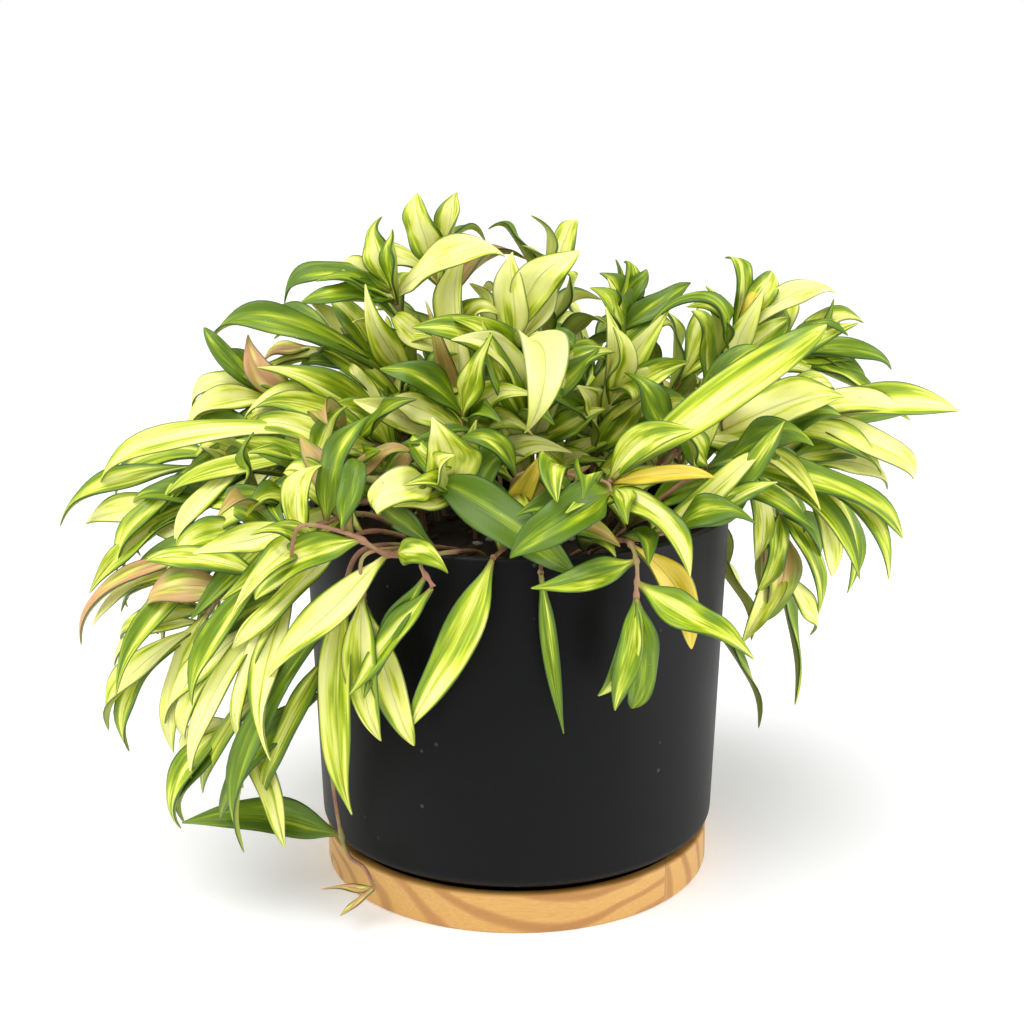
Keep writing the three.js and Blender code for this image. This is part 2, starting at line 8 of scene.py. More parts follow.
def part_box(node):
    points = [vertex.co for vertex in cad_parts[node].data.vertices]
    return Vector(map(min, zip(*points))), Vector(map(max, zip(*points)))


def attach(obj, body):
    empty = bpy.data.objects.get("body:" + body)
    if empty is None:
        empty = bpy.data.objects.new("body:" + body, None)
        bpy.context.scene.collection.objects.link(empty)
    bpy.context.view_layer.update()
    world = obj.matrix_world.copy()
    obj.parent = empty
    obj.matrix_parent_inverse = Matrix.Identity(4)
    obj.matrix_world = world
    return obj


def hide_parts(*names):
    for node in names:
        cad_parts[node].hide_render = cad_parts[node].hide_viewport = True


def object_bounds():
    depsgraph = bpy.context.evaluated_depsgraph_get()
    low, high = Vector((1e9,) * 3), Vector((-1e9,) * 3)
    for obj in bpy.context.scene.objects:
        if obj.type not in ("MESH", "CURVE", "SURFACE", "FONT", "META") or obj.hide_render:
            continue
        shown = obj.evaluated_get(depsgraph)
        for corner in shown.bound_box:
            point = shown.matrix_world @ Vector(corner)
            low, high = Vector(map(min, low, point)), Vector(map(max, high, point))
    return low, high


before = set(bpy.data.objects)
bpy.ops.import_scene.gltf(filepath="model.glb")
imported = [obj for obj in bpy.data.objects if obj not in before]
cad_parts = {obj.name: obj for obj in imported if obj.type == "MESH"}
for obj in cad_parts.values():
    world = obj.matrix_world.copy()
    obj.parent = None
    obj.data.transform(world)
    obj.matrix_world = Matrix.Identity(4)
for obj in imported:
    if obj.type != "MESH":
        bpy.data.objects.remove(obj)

cad_low, cad_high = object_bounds()


# Camera: a product view from the front and a little above.
# It comes first, because everything else is placed by the frame.
camera_data = bpy.data.cameras.new("camera")
camera_data.lens = 56.25
camera_data.sensor_width = 36
camera_data.shift_x = -0.0048
camera = bpy.data.objects.new("camera", camera_data)
camera.location = (0, -0.757, 0.358)
camera.rotation_euler = (math.radians(90 - 13.64), 0, 0)
bpy.context.collection.objects.link(camera)
bpy.context.scene.camera = camera


# Saucer: a disc turned from a board of light wood that was glued up from strips.
# Its top has a shallow recess for the pot's foot, and it is oiled to a satin finish.
class Shade:
    """A number or colour in a material, which can be used in arithmetic."""

    def __init__(self, tree, socket=None):
        self.tree = tree
        self.socket = socket

    def node(self, kind, settings=None, inputs=None, output=0):
        """Add a node. Its settings are set first, then the values or links of its sockets."""
        node = self.tree.nodes.new(kind)
        for name, value in (settings or {}).items():
            if name == "stops":
                ramp = node.color_ramp.elements
                while len(ramp) < len(value):
                    ramp.new(0.5)
                for element, (place, colour) in zip(ramp, value):
                    element.position = place
                    element.color = (*colour, 1)
            else:
                setattr(node, name, value)
        for name, value in (inputs or {}).items():
            if isinstance(value, Shade):
                self.tree.links.new(value.socket, node.inputs[name])
            else:
                node.inputs[name].default_value = value
        return Shade(self.tree, node.outputs[output])

    def maths(self, operation, *values):
        return self.node("ShaderNodeMath", {"operation": operation}, dict(enumerate(values)))

    def __add__(self, other):
        return self.maths("ADD", self, other)

    def __sub__(self, other):
        return self.maths("SUBTRACT", self, other)

    def __rsub__(self, other):
        return self.maths("SUBTRACT", other, self)

    def __mul__(self, other):
        return self.maths("MULTIPLY", self, other)

    def __abs__(self):
        return self.maths("ABSOLUTE", self)

    __radd__ = __add__
    __rmul__ = __mul__

    def step(self, low, high):
        """0 at low, 1 at high, and smooth between them."""
        inputs = {"Value": self, "From Min": low, "From Max": high}
        return self.node("ShaderNodeMapRange", {"interpolation_type": "SMOOTHSTEP"}, inputs)

    def mix(self, first, second):
        """A colour from first to second, by this factor."""
        inputs = {0: self}
        for place, colour in ((6, first), (7, second)):
            inputs[place] = colour if isinstance(colour, Shade) else (*colour, 1)
        return self.node("ShaderNodeMix", {"data_type": "RGBA"}, inputs, output=2)

    def noise(self, vector, scale, detail=3):
        return self.node("ShaderNodeTexNoise", inputs={"Vector": vector, "Scale": scale, "Detail": detail})

    def spots(self, vector, scale, radius, share):
        """1 in small round spots, which only that share of the cells has."""
        inputs = {"Vector": vector, "Scale": scale}
        near = self.node("ShaderNodeTexVoronoi", inputs=inputs)
        luck = self.split(self.node("ShaderNodeTexVoronoi", inputs=inputs, output=1))[0]
        return near.step(radius, radius * 0.6) * luck.step(share + 0.01, share)

    def ramp(self, *stops):
        return self.node("ShaderNodeValToRGB", {"stops": stops}, {0: self})

    def split(self, vector):
        """The three numbers of a vector."""
        first = self.node("ShaderNodeSeparateXYZ", inputs={0: vector})
        return [Shade(self.tree, socket) for socket in first.socket.node.outputs]

    def join(self, x, y, z):
        return self.node("ShaderNodeCombineXYZ", inputs={0: x, 1: y, 2: z})

    def bump(self, distance, strength=1.0):
        """The normal of a surface that this height stands proud of."""
        inputs = {"Height": self, "Distance": distance, "Strength": strength}
        return self.node("ShaderNodeBump", inputs=inputs)


def new_material(name, **constants):
    """A material, its shader, and a Shade to build its colours with."""
    material = bpy.data.materials.new(name)
    material.use_nodes = True
    shader = material.node_tree.nodes["Principled BSDF"]
    for socket, value in constants.items():
        shader.inputs[socket.replace("_", " ")].default_value = value
    return material, shader, Shade(material.node_tree)


def feed(shader, **shades):
    """Link the shades that vary over the surface to the shader's sockets."""
    for socket, shade in shades.items():
        shade.tree.links.new(shade.socket, shader.inputs[socket.replace("_", " ")])


def object_place(shade):
    """The place on the piece, in metres."""
    return shade.node("ShaderNodeTexCoord", output=3)


def finish_piece(name, bm, slot, nodes, *materials):
    """Turn a bmesh into a smooth-shaded piece that rides on the plant's one body."""
    mesh = bpy.data.meshes.new(name)
    bm.to_mesh(mesh)
    bm.free()
    for material in materials:
        mesh.materials.append(material)
    mesh.polygons.foreach_set("use_smooth", [True] * len(mesh.polygons))
    piece = bpy.data.objects.new(name, mesh)
    bpy.context.collection.objects.link(piece)
    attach(piece, "root")
    if nodes:
        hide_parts(*nodes)
    return piece


def turn_outline(outline, steps, soft_corners=0.0):
    """Spin an outline of (radius, height) points round the middle into a closed body."""
    bm = bmesh.new()
    points = [bm.verts.new((radius, 0, height)) for radius, height in outline]
    edges = [bm.edges.new(pair) for pair in zip(points, points[1:])]
    if outline[0][0] > 0:
        edges.append(bm.edges.new((points[-1], points[0])))
    bmesh.ops.spin(bm, geom=points + edges, angle=math.tau, steps=steps, axis=(0, 0, 1),
                   cent=(0, 0, 0), use_merge=True)
    bmesh.ops.remove_doubles(bm, verts=bm.verts, dist=1e-6)
    bmesh.ops.recalc_face_normals(bm, faces=bm.faces)
    if soft_corners:
        sharp = [edge for edge in bm.edges if edge.calc_face_angle() > math.radians(30)]
        bmesh.ops.bevel(bm, geom=sharp, offset=soft_corners, affect="EDGES", segments=3,
                        profile=0.5, material=-1)
    return bm


saucer_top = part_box("saucer")[1].z
saucer_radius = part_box("saucer")[1].x
saucer_lip = 0.006
pot_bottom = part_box("pot")[0].z
recess = pot_bottom - 0.0003
saucer_outline = [
    (0, 0), (saucer_radius, 0), (saucer_radius, saucer_top),
    (saucer_radius - saucer_lip, saucer_top), (saucer_radius - saucer_lip, recess), (0, recess),
]

wood, shader, shade = new_material("oiled_light_wood", Coat_Weight=0.08, Coat_Roughness=0.35)
x, y, z = shade.split(object_place(shade))
second_strip = x.step(0.0695, 0.0705)
wander = shade.noise(shade.join(x * 6, y * 14, z * 14), 1.6, detail=2)
heart_y = y + 0.035 + second_strip * 0.11
heart_z = z + 0.012 + x * 0.16 - second_strip * 0.03
from_heart = shade.maths("SQRT", heart_y * heart_y + heart_z * heart_z * 3.0)
rings = shade.maths("SINE", (from_heart + wander * 0.022) * 420)
late_wood = rings.step(0.1, 1.0)
fibre = shade.noise(shade.join(x * 9, y * 260, z * 260), 5, detail=4)
pores = shade.noise(shade.join(x * 30, y * 500, z * 500), 4, detail=2).step(0.62, 0.75)
colour = fibre.mix((0.53, 0.28, 0.07), (0.76, 0.44, 0.125))
colour = (late_wood * (0.3 + wander * 0.6)).mix(colour, (0.34, 0.125, 0.028))
colour = (pores * 0.25).mix(colour, (0.3, 0.13, 0.045))
glue_line = abs(x - 0.07).step(0.0004, 0.00015)
colour = (glue_line * 0.5).mix(colour, (0.25, 0.12, 0.05))
# Painted shade: the top of the lip, which lies under the pot's overhanging wall, is painted darker.
painted_shade_under_pot = z.step(saucer_top - 0.0012, saucer_top - 0.0004)
colour = (painted_shade_under_pot * 0.55).mix(colour, (0.42, 0.2, 0.035))
feed(shader, Base_Color=colour, Roughness=0.42 + fibre * 0.18)
feed(shader, Normal=(fibre + pores * -0.6).bump(0.0002, 0.5))

finish_piece("turned_saucer", turn_outline(saucer_outline, 128, 0.0014), "wood", ["saucer"], wood)


# Pot: slip-cast stoneware, glazed matt black all over. The wall opens a little towards the rim,
# and turns in to a narrow foot that sits in the saucer. A drain hole goes through the floor.
pot_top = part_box("pot")[1].z
rim_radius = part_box("pot")[1].x
wall = 0.0045
low_radius = rim_radius - 0.005
low_height = 0.028
foot_radius = 0.085
foot_height = 0.021
foot_ring = 0.007
drain_radius = 0.008
floor_height = 0.0155


def bend_round(start, corner, end, count):
    """Points on a curve from start to end that bends round a corner."""
    points = []
    for step in range(count + 1):
        far = step / count
        near = 1 - far
        points.append(tuple(a * near * near + 2 * b * near * far + c * far * far
                            for a, b, c in zip(start, corner, end)))
    return points


pot_outline = [(foot_radius - foot_ring, pot_bottom), (foot_radius, pot_bottom)]
pot_outline += bend_round((foot_radius, foot_height), (low_radius, foot_height),
                          (low_radius, low_height), 10)
pot_outline += [(rim_radius, pot_top), (rim_radius - wall, pot_top)]
pot_outline += bend_round((low_radius - wall, low_height + wall + 0.002),
                          (low_radius - wall, foot_height + wall),
                          (foot_radius - wall, foot_height + wall - 0.001), 10)
pot_outline += [(foot_radius - wall, floor_height), (drain_radius, floor_height),
                (drain_radius, pot_bottom + 0.0015), (foot_radius - foot_ring, pot_bottom + 0.0015)]

black, shader, shade = new_material("matt_black_glaze", Specular_IOR_Level=0.12)
place = object_place(shade)
cloud = shade.noise(place, 16)
grain = shade.noise(place, 900, detail=2)
pit = shade.spots(place, 140, 0.16, 0.06)
colour = cloud.mix((0.003, 0.0032, 0.0034), (0.006, 0.0063, 0.0067))
colour = (pit * 0.5).mix(colour, (0.09, 0.09, 0.09))
# Painted highlight: the top of the rim is painted lighter than the rest of the black glaze.
painted_rim_highlight = shade.split(place)[2].step(pot_top - 0.0014, pot_top - 0.0002)
colour = (painted_rim_highlight * 0.5).mix(colour, (0.035, 0.036, 0.038))
feed(shader, Base_Color=colour, Roughness=0.36 + cloud * 0.12 + grain * 0.06)
feed(shader, Normal=(grain + pit * 2 + cloud * 1.5).bump(0.00012, 0.35))

finish_piece("black_glazed_pot", turn_outline(pot_outline, 128, 0.0009), "black_glaze", ["pot"], black)


# Soil: moist peat-based potting mix that fills the pot to just under the rim. Its surface is lumpy
# and a little higher in the middle, with bark chips and a few grains of perlite lying on it.
soil_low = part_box("soil")[0].z
soil_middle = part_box("soil")[1].z
soil_edge = soil_middle - 0.005
soil_radius = rim_radius - wall - 0.0012
soil_rings = 26


def soil_height(radius):
    return soil_edge + 0.0035 * (1 - (radius / soil_radius) ** 2)


soil_outline = [(0, soil_low), (foot_radius - wall - 0.001, soil_low),
                (foot_radius - wall - 0.001, foot_height + wall),
                (low_radius - wall - 0.001, low_height + wall + 0.004), (soil_radius, soil_edge)]
for ring in range(1, soil_rings + 1):
    radius = soil_radius * (1 - ring / soil_rings)
    soil_outline.append((radius, soil_height(radius)))

soil_mix, shader, shade = new_material("potting_mix", Roughness=0.92)
place = object_place(shade)
crumb = shade.noise(place, 170, detail=5)
fleck = shade.noise(place, 420, detail=2).step(0.62, 0.7)
colour = crumb.mix((0.006, 0.004, 0.0025), (0.045, 0.028, 0.016))
feed(shader, Base_Color=(fleck * 0.5).mix(colour, (0.12, 0.08, 0.045)), Normal=crumb.bump(0.0015))

soil_mesh = turn_outline(soil_outline, 96)
for vert in soil_mesh.verts:
    if vert.co.z > soil_edge - 0.001 and vert.co.xy.length < soil_radius - 0.001:
        vert.co.z += min(0.0012, 0.0015 * noise.fractal(vert.co * 90, 0.7, 2.2, 4))
finish_piece("potting_soil", soil_mesh, "potting_soil", ["soil"], soil_mix)

bark, shader, shade = new_material("bark_and_perlite", Roughness=0.88)
place = object_place(shade)
perlite = shade.noise(place, 60, detail=0).step(0.6, 0.64)
grain = shade.noise(place, 300)
colour = grain.mix((0.03, 0.016, 0.008), (0.11, 0.06, 0.03))
feed(shader, Base_Color=perlite.mix(colour, (0.5, 0.48, 0.43)), Normal=grain.bump(0.0006))


def chance(first, second):
    """A number from 0 to 1 that is always the same for the same two numbers."""
    wave = math.sin(first * 12.9898 + second * 78.233) * 43758.5453
    return wave - math.floor(wave)


chips = bmesh.new()
for chip in range(180):
    radius = (soil_radius - 0.005) * math.sqrt(chance(chip, 1))
    angle = math.tau * chance(chip, 2)
    size = 0.0011 + 0.0022 * chance(chip, 3)
    new = bmesh.ops.create_icosphere(chips, subdivisions=1, radius=size)["verts"]
    for corner, vert in enumerate(new):
        vert.co *= 0.75 + 0.5 * chance(chip, 4 + corner)
    bmesh.ops.scale(chips, verts=new, vec=(1.3, 0.8, 0.5))
    bmesh.ops.rotate(chips, verts=new, cent=(0, 0, 0), matrix=Matrix.Rotation(angle * 3, 3, "Z"))
    place = (radius * math.cos(angle), radius * math.sin(angle), soil_height(radius) + size * 0.3)
    bmesh.ops.translate(chips, verts=new, vec=place)
finish_piece("bark_chips", chips, "potting_soil", [], bark)


# Leaves and stems: every cutting is one vine, a wiry brown stem with thick waxy leaves in pairs.
# A leaf is lance-shaped, cupped along its midrib and waved at its edge. It is cream and yellow
# inside, streaked with green, and has a thin dark green line round its edge.
root_depth = 0.014
leaf_thickness = 0.0028
petiole_share = 0.06
petiole_radius = 0.0011
stem_radius = 0.0012
knob_length = 0.0022
stem_step = 0.0025
blade_columns, blade_rows = 4, 11
pair_start = 0.4
turns = 6
turn_seed = 13
found_within = 0.0006
clear_gap = 0.003
ground_gap = 0.004

# Short leaves that fill each vine: how many, and the least and the range of their place along
# the stem, their length and their width.
fill_leaves = 7
fill_place = (0.3, 0.5)
fill_length = (0.04, 0.025)
fill_width = (0.009, 0.007)

# Two dried young leaves at the end of the trailing vine.
dried_tips = {
    "left_trail": [
        (1, (-0.08, -0.1, 0.012), 0.003, 0.05, "tan"),
        (1, (-0.084, -0.094, 0.024), 0.004, -0.15, "tan"),
    ],
}
pair_finishes = ("cream", "pale", "mixed", "green", "mixed", "cream", "mixed")
fill_finishes = ("green", "mixed", "pale", "green", "blush", "mixed")

# How creamy, how blushed and how yellowed a leaf of each finish is.
leaf_finishes = {
    "cream": (0.95, 0, 0),
    "pale": (0.78, 0.05, 0),
    "mixed": (0.52, 0, 0),
    "green": (0.16, 0, 0),
    "dark": (-0.15, 0, 0),
    "blush": (0.45, 0.8, 0),
    "tan": (0.6, 1, 0.1),
    "yellow": (0.7, 0.1, 0.9),
}


def leaf_shades(shade):
    """The place across and along the blade, and the leaf's own tone."""
    blade = shade.node("ShaderNodeUVMap", {"uv_map": "blade"})
    across, along = shade.split(blade)[:2]
    edge = abs(across * 2 - 1)
    tone = shade.node("ShaderNodeAttribute", {"attribute_name": "tone"}, output=1)
    yellow = shade.node("ShaderNodeAttribute", {"attribute_name": "tone"}, output=3)
    luck, cream, blush = shade.split(tone)
    return across, along, edge, luck, cream, blush, yellow


upper, shader, shade = new_material("leaf_upper_side", Specular_IOR_Level=0.42)
across, along, edge, luck, cream, blush, yellow = leaf_shades(shade)
patch = shade.noise(shade.join(across * 3.2 + luck * 37, along * 1.9 + luck * 91, luck * 53), 1, 2)
streak = shade.noise(shade.join(across * 13 + luck * 17, along * 2.4 + luck * 61, luck * 29), 1, 3)
fine = shade.noise(shade.join(across * 60 + luck * 7, along * 6, luck * 11), 1, 3)
level = edge * edge * 0.36 + patch * 1.9 + streak * 0.75 + fine * 0.1 - cream * 0.85 - 0.52
pattern = level.ramp((0.0, (0.93, 0.93, 0.36)), (0.28, (0.85, 0.88, 0.2)), (0.42, (0.62, 0.71, 0.05)),
                     (0.54, (0.36, 0.48, 0.012)), (0.72, (0.19, 0.31, 0.006)), (1.0, (0.1, 0.19, 0.005)))
pattern = (yellow * 0.75).mix(pattern, (0.87, 0.58, 0.02))
blushed = shade.noise(shade.join(across * 2 + luck * 5, along * 2 + luck * 33, luck * 3), 1, 1)
pattern = (blush * (blushed + edge * 0.15).step(0.85, 0.5)).mix(pattern, (0.62, 0.33, 0.15))
midrib = edge.step(0.07, 0.01)
pattern = (midrib * 0.35).mix(pattern, (0.38, 0.48, 0.06))
specks = shade.spots(shade.join(across * 10 + luck * 9, along * 44, luck * 5), 1, 0.13, 0.05)
pattern = (specks * 0.6).mix(pattern, (0.9, 0.92, 0.85))
brown = shade.spots(shade.join(across * 4 + luck * 3, along * 20, luck * 77), 1, 0.16, 0.02)
pattern = (brown * 0.6).mix(pattern, (0.2, 0.07, 0.02))
stalk = along.step(0.1, 0.02)
pattern = (stalk * 0.7).mix(pattern, (0.28, 0.19, 0.05))
margin = edge.step(0.88, 0.985)
pattern = (margin * 0.85).mix(pattern, (0.03, 0.085, 0.012))
feed(shader, Base_Color=pattern, Roughness=0.34 + fine * 0.16)
feed(shader, Normal=(midrib * -1.2 + fine * 0.35 + streak * 0.8).bump(0.0004, 0.6))

under, shader, shade = new_material("leaf_under_side", Specular_IOR_Level=0.4)
across, along, edge, luck, cream, blush, yellow = leaf_shades(shade)
streak = shade.noise(shade.join(across * 9 + luck * 17, along * 2.2 + luck * 61, luck * 29), 1, 3)
fine = shade.noise(shade.join(across * 60 + luck * 7, along * 6, luck * 11), 1, 3)
level = edge * edge * 0.5 + streak * 1.0 - cream * 0.35
pattern = level.ramp((0.0, (0.62, 0.63, 0.17)), (0.4, (0.45, 0.5, 0.09)), (0.7, (0.26, 0.34, 0.04)),
                     (1.0, (0.12, 0.2, 0.02)))
pattern = (blush * 0.6).mix(pattern, (0.5, 0.28, 0.13))
midrib = edge.step(0.1, 0.02)
pattern = (midrib * 0.5).mix(pattern, (0.6, 0.6, 0.25))
stalk = along.step(0.12, 0.02)
pattern = (stalk * 0.8).mix(pattern, (0.3, 0.17, 0.08))
margin = edge.step(0.9, 0.985)
pattern = (margin * 0.8).mix(pattern, (0.04, 0.11, 0.02))
feed(shader, Base_Color=pattern, Roughness=0.45 + fine * 0.12)
feed(shader, Normal=(midrib * 1.5 + fine * 0.3).bump(0.0004, 0.6))

stem_skin, shader, shade = new_material("stem_skin", Roughness=0.55)
place = object_place(shade)
mottle = shade.noise(place, 90)
bark_line = shade.noise(place, 700, detail=2)
colour = mottle.ramp((0.3, (0.3, 0.13, 0.085)), (0.5, (0.4, 0.2, 0.12)), (0.62, (0.36, 0.3, 0.1)),
                     (0.75, (0.22, 0.27, 0.06)))
colour = (bark_line.step(0.55, 0.75) * 0.4).mix(colour, (0.12, 0.05, 0.03))
feed(shader, Base_Color=colour, Normal=bark_line.bump(0.0004, 0.6))


def facing_at(place):
    """The way that a leaf's upper side looks at that place: up, out and a little to the front."""
    outward = Vector((place.x, place.y, 0)).normalized()
    forward = min(max(0.6 - place.y * 10, 0), 0.6)
    return (Vector((0, 0, 0.6)) + outward * 0.35 - Vector((0, forward, 0))).normalized()


def along_points(points, share):
    """The place at that share of a smooth curve through the points."""
    ends = [points[0] * 2 - points[1], *points, points[-1] * 2 - points[-2]]
    span = min(int(share * (len(points) - 1)), len(points) - 2)
    t = share * (len(points) - 1) - span
    a, b, c, d = ends[span:span + 4]
    return b + (c - a) * (t / 2) + (a * 2 - b * 5 + c * 4 - d) * (t * t / 2) \
        + (b * 3 - c * 3 + d - a) * (t ** 3 / 2)


def curve_place(curve, t):
    """The place at t of a curve from its first point to its last that leans to its middle one."""
    base, middle, tip = curve
    return base * (1 - t) ** 2 + middle * (2 * t * (1 - t)) + tip * t ** 2


def curve_ahead(curve, t):
    base, middle, tip = curve
    return ((middle - base) * (1 - t) + (tip - middle) * t).normalized()


def half_width(along, width, pointed):
    """Half the blade's width at that place along it: a thin stalk, then a long lance shape."""
    if along <= petiole_share:
        return petiole_radius
    share = (along - petiole_share) / (1 - petiole_share)
    shape = share ** 0.75 * (1 - share) ** pointed
    fullest = 0.75 / (0.75 + pointed)
    shape /= fullest ** 0.75 * (1 - fullest) ** pointed
    return max(shape * width / 2, petiole_radius * (1 - share), 0.0003)


def add_leaf(bm, curve, facing, width, seed, finish):
    """Lay a grid along the curve and shape it into one leaf."""
    luck = [chance(seed, 11 + number) for number in range(9)]
    cream, blush, yellow = leaf_finishes[finish]
    tone = (luck[0], cream + 0.2 * (luck[1] - 0.5), blush, yellow)
    fold = 0.35 + 0.55 * luck[2]
    ripple = 0.2 + 0.4 * luck[3]
    twist = 1.6 * (luck[4] - 0.5)
    sway = width * 0.9 * (luck[5] - 0.5)
    hook = 0.004 + 0.006 * luck[6]
    pointed = 0.75 + 0.5 * luck[7]
    thick_layer = bm.verts.layers.deform.verify()
    tone_layer = bm.verts.layers.float_color["tone"]
    middle_ahead = curve_ahead(curve, 0.5)
    first_right = middle_ahead.cross(facing).normalized()
    new = bmesh.ops.create_grid(bm, x_segments=blade_columns, y_segments=blade_rows, size=1,
                                calc_uvs=True)["verts"]
    for vert in new:
        across, along = vert.co.x, (vert.co.y + 1) / 2
        ahead = curve_ahead(curve, along)
        right = (first_right - ahead * first_right.dot(ahead)).normalized()
        right = Matrix.Rotation(twist * (along - 0.5), 3, ahead) @ right
        up = right.cross(ahead)
        half = half_width(along, width, pointed)
        waves = math.sin(along * 9 + luck[8] * 20 + (2 if across > 0 else 0))
        lift = half * (fold * abs(across) + ripple * across * across * waves)
        lift -= hook * max(0, (along - 0.7) / 0.3) ** 2
        vert.co = curve_place(curve, along) + right * (half * across + sway * math.sin(along * math.pi)) \
            + up * lift
        vert[tone_layer] = tone
        vert[thick_layer][0] = (1 - 0.6 * across * across) * min(1, 0.35 + (1 - along) * 2)


def is_clear(curve):
    """Whether a leaf on that curve misses the pot and the soil and stays within the plant."""
    for step in range(13):
        place = curve_place(curve, step / 12)
        from_middle = place.xy.length
        if not cad_low[0] < place.x < cad_high[0] or not cad_low[1] < place.y < cad_high[1]:
            return False
        if not ground_gap <= place.z <= cad_high[2]:
            return False
        if from_middle < rim_radius + clear_gap and place.z < pot_top + clear_gap:
            if place.z < soil_middle + 0.002 or from_middle > rim_radius - wall - clear_gap:
                return False
    return True


def pair_share(pair, pairs):
    """How far along its vine a pair of leaves grows."""
    return pair_start + (1 - pair_start) * (pair + 0.5) / pairs


def pair_curve(number, points, pair, pairs, side, turn, length):
    """The curve of one leaf of a pair, and the way that it faces."""
    share = pair_share(pair, pairs)
    seed = pair * 2 + side + turn * turn_seed
    base = along_points(points, share)
    ahead = (along_points(points, min(1, share + 1e-4)) - along_points(points, share - 1e-4)).normalized()
    facing = facing_at(base)
    across = ahead.cross(facing).normalized()
    spread = math.radians(15 + 35 * chance(number, seed))
    reach = length * (0.75 + 0.45 * chance(number, seed + 50))
    droop = 0.12 + 0.3 * chance(number, seed + 100)
    lift = 0.1 + 0.3 * chance(number, seed + 150)
    start = ahead * math.cos(spread) + across * side * math.sin(spread) + facing * lift
    start.normalize()
    middle = base + start * (0.5 * reach)
    tip = base + start * (0.92 * reach) - Vector((0, 0, droop * reach))
    return (base, middle, tip), facing


def find_pair_curve(corners, number, points, pair, pairs, side, length):
    """That leaf's curve at the turn its solid has, or else at the first turn that is clear."""
    tries = [pair_curve(number, points, pair, pairs, side, turn, length) for turn in range(turns)]
    for curve, facing in tries:
        if corners.find(curve[2])[2] < found_within:
            return curve, facing
    for curve, facing in tries:
        if is_clear(curve):
            return curve, facing
    return None


def fill_curve(base, seed):
    """The curve of a short leaf that leans outwards from the stem, or nothing if none is clear."""
    for turn in range(turns):
        bearing = math.tau * chance(seed, 2 + turn)
        start = Vector((math.cos(bearing), math.sin(bearing), 0.5 + 0.9 * chance(seed, 20 + turn)))
        start = (start.normalized() + Vector((base.x, base.y, 0)) * 4).normalized()
        reach = fill_length[0] + fill_length[1] * chance(seed, 40 + turn)
        droop = Vector((0, 0, reach * (0.1 + 0.3 * chance(seed, 60 + turn))))
        curve = (base, base + start * (reach * 0.5), base + start * reach - droop)
        if is_clear(curve):
            return curve
    return None


def grow_vine(number, name, root, route, pairs, length, width, leaves):
    """One rooted cutting: its stem, and all its leaves."""
    points = [Vector((*root, soil_middle - root_depth)), Vector((*root, soil_middle))]
    points += [Vector(place) for place in route]
    cad_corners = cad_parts[name].data.vertices
    corners = kdtree.KDTree(len(cad_corners))
    for corner in cad_corners:
        corners.insert(corner.co, corner.index)
    corners.balance()
    bm = bmesh.new()
    bm.loops.layers.uv.new("blade")
    bm.verts.layers.float_color.new("tone")
    joints = []
    for leaf, (share, tip, leaf_width, arch, finish) in enumerate(leaves + dried_tips.get(name, [])):
        base, tip = along_points(points, share), Vector(tip)
        facing = facing_at(tip)
        middle = (base + tip) / 2 + facing * (2 * arch * (tip - base).length)
        add_leaf(bm, (base, middle, tip), facing, leaf_width, number * 40 + leaf, finish)
        joints.append(share)
    for pair in range(pairs):
        for side in (-1, 1):
            found = find_pair_curve(corners, number, points, pair, pairs, side, length)
            if found:
                seed = number * 40 + 20 + pair * 2 + (side + 1) / 2
                pick = pair_finishes[int(chance(seed, 5) * len(pair_finishes))]
                add_leaf(bm, *found, width, seed, pick)
        joints.append(pair_share(pair, pairs))
    for extra in range(fill_leaves):
        seed = number * 40 + 90 + extra
        base = along_points(points, fill_place[0] + fill_place[1] * chance(seed, 1))
        in_front = base.y < -0.06 and abs(base.x) < 0.065
        over_front = in_front and base.xy.length > rim_radius - 0.02
        curve = fill_curve(base, seed)
        if base.z >= soil_middle + 0.006 and not over_front and curve:
            pick = fill_finishes[int(chance(seed, 7) * len(fill_finishes))]
            leaf_width = fill_width[0] + fill_width[1] * chance(seed, 8)
            add_leaf(bm, curve, facing_at(base), leaf_width, seed, pick)
    piece = finish_piece("leaves_of_" + name, bm, "leaf", [name], upper, under)
    piece.vertex_groups.new(name="thickness")
    wall_modifier = piece.modifiers.new("thickness", "SOLIDIFY")
    wall_modifier.thickness = leaf_thickness
    wall_modifier.offset = 0
    wall_modifier.vertex_group = "thickness"
    wall_modifier.material_offset = 1
    round_modifier = piece.modifiers.new("round", "SUBSURF")
    round_modifier.levels = round_modifier.render_levels = 1
    grow_stem(name, points, joints)


def grow_stem(name, points, joints):
    """A thin stem along the vine's points, with a knob where each leaf or pair joins it."""
    reach = sum((b - a).length for a, b in zip(points, points[1:]))
    count = max(12, int(reach / stem_step))
    curve = bpy.data.curves.new("stem_of_" + name, "CURVE")
    curve.dimensions = "3D"
    curve.bevel_depth = 1
    curve.bevel_resolution = 2
    curve.use_fill_caps = True
    line = curve.splines.new("POLY")
    line.points.add(count)
    for step, point in enumerate(line.points):
        share = step / count
        point.co = (*along_points(points, share), 1)
        knob = sum(math.exp(-((share - joint) * reach / knob_length) ** 2) for joint in joints)
        point.radius = stem_radius * (1.1 - 0.45 * share) * (1 + 0.9 * min(1, knob))
    holder = bpy.data.objects.new("stem_curve", curve)
    bpy.context.collection.objects.link(holder)
    bpy.context.view_layer.update()
    mesh = bpy.data.meshes.new_from_object(holder)
    bpy.data.objects.remove(holder)
    bm = bmesh.new()
    bm.from_mesh(mesh)
    bmesh.ops.remove_doubles(bm, verts=bm.verts, dist=1e-6)
    finish_piece("stem_of_" + name, bm, "leaf", [name], stem_skin)


vine_number = 0


